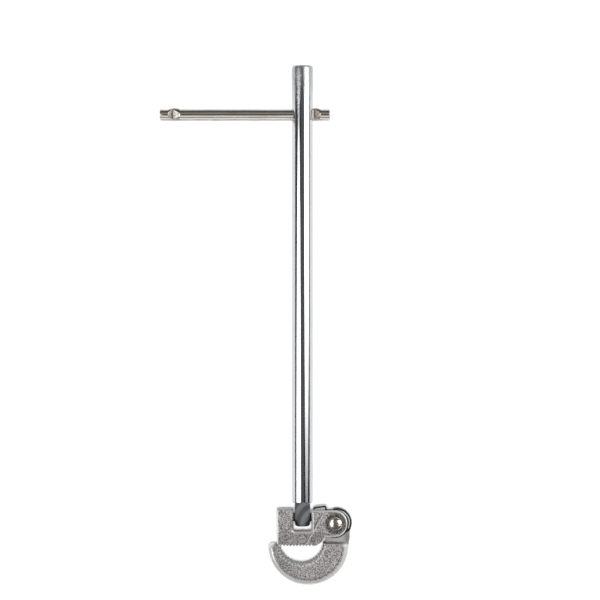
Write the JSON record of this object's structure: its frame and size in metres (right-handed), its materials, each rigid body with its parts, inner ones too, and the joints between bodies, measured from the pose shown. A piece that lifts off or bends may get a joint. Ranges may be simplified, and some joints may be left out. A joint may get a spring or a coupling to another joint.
{
  "type": "basin wrench",
  "caption": "Plumber's basin wrench: a straight rod with a sliding T-bar handle and a head that swings, with a sprung hook jaw closing on a toothed fixed jaw.",
  "frame": {"origin": "on the rear face of the fixed jaw, in line with the shaft, 11.6 mm below the head pin", "axes": "+Y along the shaft from the jaws to its top end, +X along the T-bar towards the rivet's side, +Z out of the jaws' front faces"},
  "size_m": [0.1109, 0.2996, 0.0194],
  "materials": {
    "chrome_rod": "bright drawn and chrome plated, with fine scratches",
    "nickel_bar": "bright nickel plated, a little warm",
    "plated_casting": "nickel plated over a granular cast surface",
    "spring_pin": "dark hardened steel",
    "polished_rivet": "polished dome",
    "black_wire": "black oiled spring wire"
  },
  "bodies": {
    "shaft": {"shaft": "chrome_rod"},
    "handle": {"t_bar": "nickel_bar"},
    "head": {"fixed_jaw": "plated_casting", "head_pin": "spring_pin", "jaw_rivet": "polished_rivet", "jaw_spring": "black_wire"},
    "hook": {"hook_jaw": "plated_casting"}
  },
  "joints": [
    {"name": "handle_slide", "type": "slide", "parent": "shaft", "child": "handle", "axis": [1, 0, 0], "range_m": [0, 0.0665]},
    {"name": "head_swing", "type": "hinge", "parent": "shaft", "child": "head", "pos_m": [0, 0.0116, 0.0085], "axis": [-1, 0, 0], "range_deg": [-90, 90]},
    {"name": "hook_swing", "type": "hinge", "parent": "head", "child": "hook", "pos_m": [0.0191, 0.0086, 0.0085], "axis": [0, 0, 1], "range_deg": [0, 55], "stiffness_Nm_per_rad": 0.05, "springref_deg": -57.3, "deforming": ["jaw_spring"]}
  ]
}
